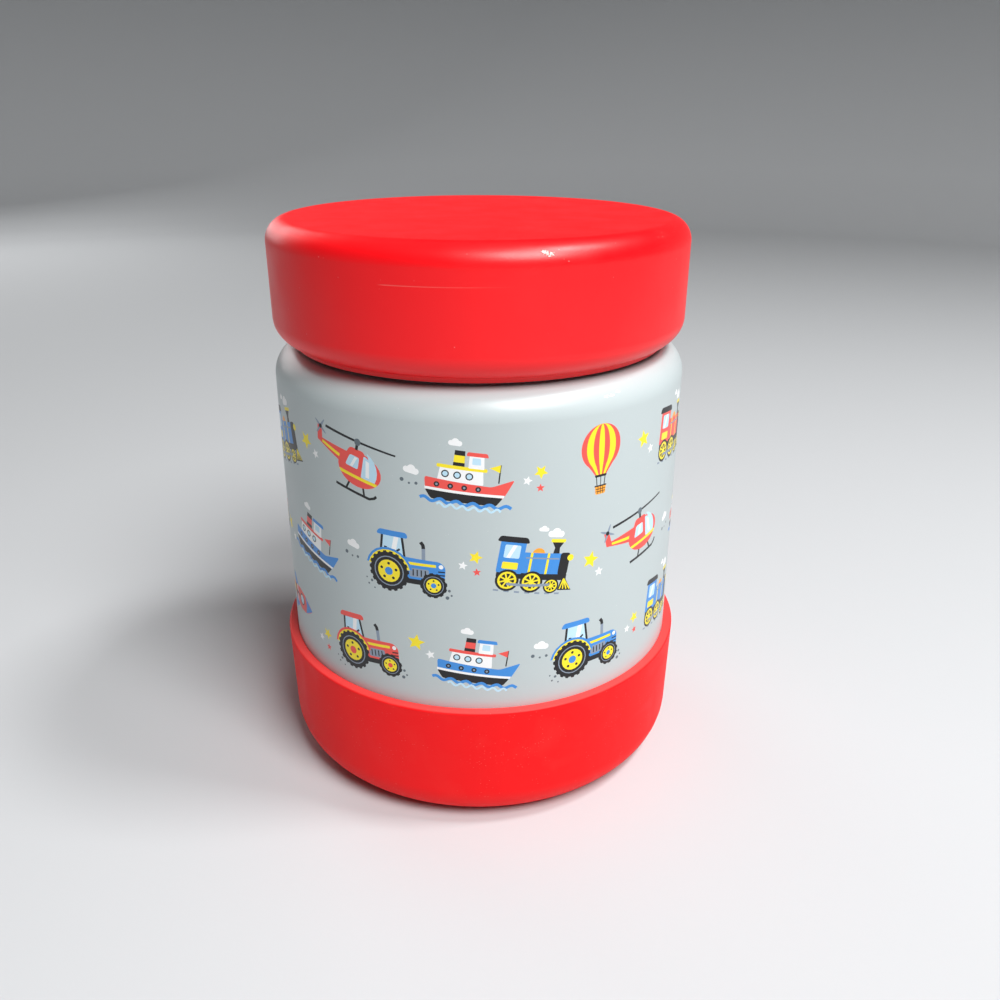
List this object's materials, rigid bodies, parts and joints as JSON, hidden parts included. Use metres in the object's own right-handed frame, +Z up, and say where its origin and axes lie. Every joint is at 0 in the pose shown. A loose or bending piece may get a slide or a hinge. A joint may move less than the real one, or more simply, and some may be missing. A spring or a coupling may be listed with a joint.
{
  "type": "insulated food jar",
  "caption": "Round double-walled food jar with a painted wall, a screw-on lid with an inner cap and seal ring, and a soft boot stretched over its foot.",
  "frame": {"origin": "centre of the boot's underside, on the surface that the jar stands on", "axes": "+Z up along the jar's axis, towards the lid; the jar looks the same from all sides, so +X and +Y are free"},
  "size_m": [0.0964, 0.0964, 0.1258],
  "materials": {
    "painted_steel": "satin",
    "stainless_steel": "satin",
    "solder_glass": "gloss",
    "getter_alloy": "matte",
    "copper_foil": "polished",
    "red_plastic": "satin",
    "liner_plastic": "satin",
    "foam": "matte",
    "clear_silicone": "satin",
    "red_silicone": "matte"
  },
  "bodies": {
    "boot": {"boot": "red_silicone"},
    "jar": {"outer_wall": "painted_steel", "inner_vessel": "stainless_steel", "outer_base": "stainless_steel", "vacuum_seal": "solder_glass", "base_cover": "stainless_steel", "getter": "getter_alloy", "getter_clip": "stainless_steel", "copper_foil": "copper_foil"},
    "lid_core": {"lid_foam": "foam"},
    "lid": {"lid_shell": "red_plastic", "lid_liner": "liner_plastic", "lid_gasket": "clear_silicone"}
  },
  "joints": [
    {"name": "lid_lift", "type": "slide", "parent": "jar", "child": "lid_core", "axis": [0, 0, 1], "range_m": [0, 0.1]},
    {"name": "lid_turn", "type": "hinge", "parent": "lid_core", "child": "lid", "pos_m": [0, 0, 0.11], "axis": [0, 0, 1], "range_deg": [0, 360]},
    {"name": "boot_pull", "type": "slide", "parent": "boot", "child": "jar", "axis": [0, 0, 1], "range_m": [0, 0.04]}
  ]
}
